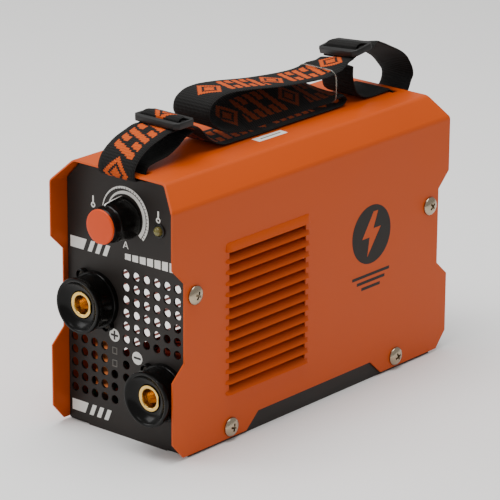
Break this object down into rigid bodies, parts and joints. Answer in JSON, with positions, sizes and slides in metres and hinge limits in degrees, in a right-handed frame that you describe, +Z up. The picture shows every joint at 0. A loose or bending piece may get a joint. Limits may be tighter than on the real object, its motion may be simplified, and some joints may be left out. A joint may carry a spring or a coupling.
{
  "type": "stick welding inverter",
  "caption": "Portable stick welding inverter with folded steel cover, output sockets, current knob, cooling fan, power rocker and webbing carrying strap.",
  "frame": {"origin": "middle of the base pan's underside", "axes": "+Z up, front panel facing -Y, +X to the right seen from the front"},
  "size_m": [0.0902, 0.2448, 0.1797],
  "materials": {
    "orange_powder_coat": "semi-gloss powder coat",
    "black_powder_coat": "satin powder coat with pale screen print",
    "black_plastic": "moulded satin",
    "gloss_black_plastic": "moulded, polished",
    "orange_plastic": "moulded satin",
    "lamp_lens": "clear tinted",
    "turned_brass": "turned",
    "copper": "drawn and enamelled",
    "zinc_plated_steel": "zinc plated",
    "extruded_aluminium": "extruded",
    "fibreglass_board": "solder mask",
    "ferrite": "sintered",
    "capacitor_sleeve": "shrink sleeve",
    "webbing": "woven polyester",
    "clear_elastic": "translucent"
  },
  "bodies": {
    "case": {"cover_shell": "orange_powder_coat", "base_pan": "black_powder_coat", "front_panel": "black_powder_coat", "rear_panel": "black_powder_coat", "cover_screw_1": "zinc_plated_steel", "cover_screw_2": "zinc_plated_steel", "cover_screw_3": "zinc_plated_steel", "cover_screw_4": "zinc_plated_steel", "cover_screw_5": "zinc_plated_steel", "cover_screw_6": "zinc_plated_steel", "cover_screw_7": "zinc_plated_steel", "cover_screw_8": "zinc_plated_steel", "potentiometer": "zinc_plated_steel", "potentiometer_nut": "zinc_plated_steel", "led_bezel_power": "gloss_black_plastic", "led_bezel_overheat": "gloss_black_plastic", "led_power": "lamp_lens", "led_overheat": "lamp_lens", "socket_positive": "gloss_black_plastic", "socket_insert_positive": "turned_brass", "socket_nut_positive": "zinc_plated_steel", "socket_screw_positive_1": "zinc_plated_steel", "socket_screw_positive_2": "zinc_plated_steel", "busbar_positive": "copper", "socket_negative": "gloss_black_plastic", "socket_insert_negative": "turned_brass", "socket_nut_negative": "zinc_plated_steel", "socket_screw_negative_1": "zinc_plated_steel", "socket_screw_negative_2": "zinc_plated_steel", "busbar_negative": "copper", "control_board": "fibreglass_board", "main_board": "fibreglass_board", "transformer_core": "ferrite", "transformer_winding": "copper", "output_choke": "copper", "inrush_relay": "black_plastic", "bridge_rectifier": "black_plastic", "igbt_1": "black_plastic", "igbt_2": "black_plastic", "output_diode": "black_plastic", "fan_frame": "black_plastic", "switch_body": "black_plastic", "gland_body": "black_plastic", "gland_nut": "black_plastic", "front_buckle": "black_plastic", "rear_buckle": "black_plastic", "bus_capacitor_1": "capacitor_sleeve", "bus_capacitor_2": "capacitor_sleeve", "heatsink_primary": "extruded_aluminium", "heatsink_output": "extruded_aluminium", "webbing_front_loop": "webbing", "webbing_handle": "webbing", "webbing_rear_loop": "webbing", "strap_tie": "clear_elastic"},
    "knob": {"knob_body": "gloss_black_plastic", "knob_cap": "orange_plastic", "potentiometer_shaft": "zinc_plated_steel"},
    "fan": {"fan_rotor": "black_plastic"},
    "rocker": {"switch_rocker": "gloss_black_plastic"}
  },
  "joints": [
    {"name": "current_knob", "type": "hinge", "parent": "case", "child": "knob", "pos_m": [0, -0.1, 0.1203], "axis": [0, 1, 0], "range_deg": [-119, 151]},
    {"name": "fan_spin", "type": "hinge", "parent": "case", "child": "fan", "pos_m": [0, 0.09, 0.0515], "axis": [0, 1, 0], "continuous": true},
    {"name": "power_rocker", "type": "hinge", "parent": "case", "child": "rocker", "pos_m": [-0.017, 0.1028, 0.1195], "axis": [1, 0, 0], "range_deg": [0, 20]}
  ]
}
